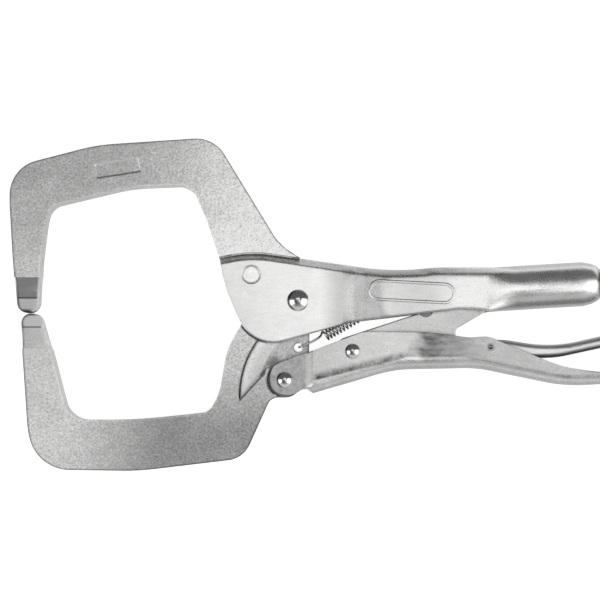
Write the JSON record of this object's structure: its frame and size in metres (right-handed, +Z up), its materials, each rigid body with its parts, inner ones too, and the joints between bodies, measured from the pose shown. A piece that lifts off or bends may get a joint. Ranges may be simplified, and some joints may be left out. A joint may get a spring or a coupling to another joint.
{
  "type": "locking c clamp",
  "caption": "Locking C clamp with wide curved jaws, toggle-linked handles, release lever, return spring and adjusting screw.",
  "frame": {"origin": "centre of the bounding box in X and Y, at the lowest point of the clamp lying on its side", "axes": "+X from the jaws to the handles, +Y from the lower jaw to the fixed jaw, +Z up, along the pivots"},
  "size_m": [0.2774, 0.133, 0.02],
  "materials": {
    "plated_forging": "matte fine-grained nickel plate on forged steel",
    "handle_sheet": "bright satin nickel plate on folded sheet steel",
    "rivet_polished": "polished rivet head",
    "spring_wire": "plated wire",
    "screw_steel": "plated and knurled steel"
  },
  "bodies": {
    "fixed_side": {"fixed_handle": "handle_sheet", "fixed_jaw": "plated_forging", "jaw_rivet": "rivet_polished", "main_pivot": "rivet_polished"},
    "moving_jaw": {"lower_jaw": "plated_forging", "return_spring": "spring_wire"},
    "grip": {"lower_handle": "handle_sheet", "handle_pivot": "rivet_polished", "link_pivot": "rivet_polished", "lever_pin": "rivet_polished"},
    "link": {"toggle_link": "handle_sheet"},
    "lever": {"release_lever": "handle_sheet"},
    "shank": {"screw_shank": "screw_steel"},
    "knob": {"screw_knob": "screw_steel"}
  },
  "joints": [
    {"name": "jaw_open", "type": "hinge", "parent": "fixed_side", "child": "moving_jaw", "pos_m": [-0.02331, 0.00166, 0.01], "axis": [0, 0, 1], "range_deg": [0, 12], "deforming": ["return_spring"]},
    {"name": "handle_fold", "type": "hinge", "parent": "moving_jaw", "child": "grip", "pos_m": [-0.02871, -0.03014, 0.01], "axis": [0, 0, 1], "range_deg": [-48.1, 0]},
    {"name": "link_swing", "type": "hinge", "parent": "grip", "child": "link", "pos_m": [-0.00151, -0.01864, 0.01], "axis": [0, 0, 1], "range_deg": [0, 56.5]},
    {"name": "lever_press", "type": "hinge", "parent": "grip", "child": "lever", "pos_m": [0.05349, -0.01694, 0.01], "axis": [0, 0, -1], "range_deg": [0, 8]},
    {"name": "screw_advance", "type": "slide", "parent": "fixed_side", "child": "shank", "axis": [0.9982, 0.0593, 0], "range_m": [0, 0.012]},
    {"name": "knob_turn", "type": "hinge", "parent": "shank", "child": "knob", "pos_m": [0.1044, 0.00923, 0.01], "axis": [0.9982, 0.0593, 0], "range_deg": [0, 2161.8]}
  ],
  "couplings": [
    {"joint": "handle_fold", "follows": "jaw_open", "ratio": -4},
    {"joint": "link_swing", "follows": "jaw_open", "ratio": 4.7},
    {"joint": "knob_turn", "follows": "screw_advance", "rad_per_m": 3141.6}
  ]
}
